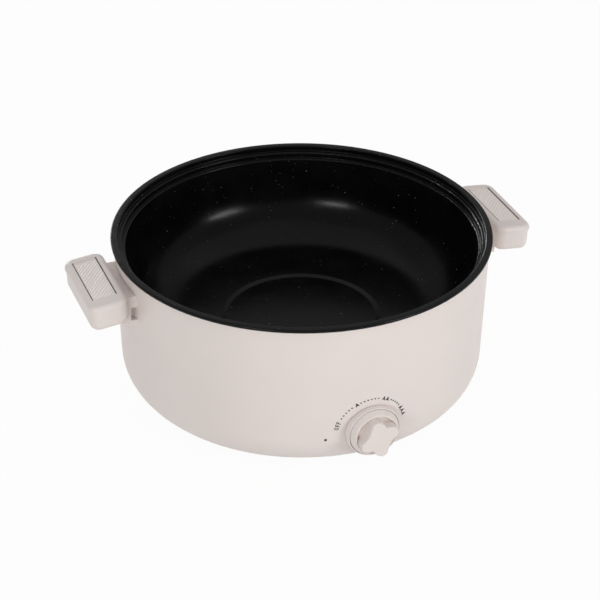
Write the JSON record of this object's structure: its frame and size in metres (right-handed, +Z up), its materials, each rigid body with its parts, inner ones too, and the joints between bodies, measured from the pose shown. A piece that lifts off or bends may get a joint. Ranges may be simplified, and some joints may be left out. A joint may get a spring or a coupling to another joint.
{
  "type": "electric hot pot",
  "caption": "Electric hot pot: a non-stick pot fixed in a moulded plastic shell, with a stepped rim for a lid or steamer, side handles, a front heat dial and a rear power inlet.",
  "frame": {"origin": "on the pot's vertical axis, in the plane that the bottoms of the feet stand on", "axes": "+Z up along the pot's axis, -Y to the front where the dial is, +X to the right-hand handle as seen from the front"},
  "size_m": [0.3928, 0.3325, 0.142],
  "materials": {
    "cream_plastic": "fine satin moulding, warm cream",
    "textured_panel": "fine ribbed texture",
    "red_brown_trim": "smooth, semi-gloss",
    "non_stick_coating": "satin non-stick coating with fine pale speckles",
    "grey_rubber": "matte",
    "silicone": "matte translucent silicone",
    "plate_aluminium": "cast, satin",
    "bright_steel": "zinc-plated",
    "element_sheath": "oxidised sheath, dark green grey",
    "white_ceramic": "unglazed",
    "dark_moulding": "dark heat-proof moulding",
    "lens_plastic": "clear red, polished",
    "lamp_glass": "clear glass bulb",
    "pin_brass": "nickel-washed brass",
    "copper": "bare copper, satin",
    "wire_red_brown": "silicone insulation, satin",
    "wire_blue": "silicone insulation, satin",
    "wire_green": "silicone insulation, satin"
  },
  "bodies": {
    "cooker": {"base_cover": "cream_plastic", "base_screws": "bright_steel", "bulb_clip": "bright_steel", "bulb_clip_screws": "bright_steel", "capillary_tube": "copper", "cutout_screws": "bright_steel", "earth_wire": "wire_green", "element_seals": "white_ceramic", "element_terminals": "bright_steel", "element_wire": "wire_red_brown", "front_left_foot": "grey_rubber", "front_right_foot": "grey_rubber", "fuse_wire": "wire_red_brown", "heat_shield": "bright_steel", "heater_plate": "plate_aluminium", "heating_element": "element_sheath", "indicator_lamp": "lamp_glass", "indicator_lens": "lens_plastic", "inlet_housing": "dark_moulding", "inlet_pins": "pin_brass", "inlet_screws": "bright_steel", "inner_pot": "non_stick_coating", "knob_bezel": "cream_plastic", "lamp_holder": "dark_moulding", "lamp_wires": "wire_blue", "left_handle_body": "cream_plastic", "left_handle_cap": "cream_plastic", "left_handle_cap_screws": "bright_steel", "left_handle_mount_screws": "bright_steel", "left_handle_panel": "textured_panel", "left_handle_plate": "bright_steel", "left_handle_trims": "red_brown_trim", "live_wire": "wire_red_brown", "neutral_wire": "wire_blue", "outer_shell": "cream_plastic", "overheat_cutout": "dark_moulding", "pot_studs": "bright_steel", "rear_left_foot": "grey_rubber", "rear_right_foot": "grey_rubber", "right_handle_body": "cream_plastic", "right_handle_cap": "cream_plastic", "right_handle_cap_screws": "bright_steel", "right_handle_mount_screws": "bright_steel", "right_handle_panel": "textured_panel", "right_handle_plate": "bright_steel", "right_handle_trims": "red_brown_trim", "rim_gasket": "silicone", "sensor_bulb": "copper", "stud_nuts": "bright_steel", "terminal_block": "white_ceramic", "thermal_fuse": "white_ceramic", "thermostat_body": "dark_moulding", "thermostat_bracket": "bright_steel", "thermostat_nut": "bright_steel", "thermostat_screws": "bright_steel"},
    "dial": {"knob": "cream_plastic", "knob_spring": "bright_steel", "thermostat_shaft": "bright_steel"}
  },
  "joints": [
    {"name": "heat_dial_turn", "type": "hinge", "parent": "cooker", "child": "dial", "pos_m": [0.0012, -0.1551, 0.0396], "axis": [0, 1, 0], "range_deg": [-98, 42]}
  ]
}
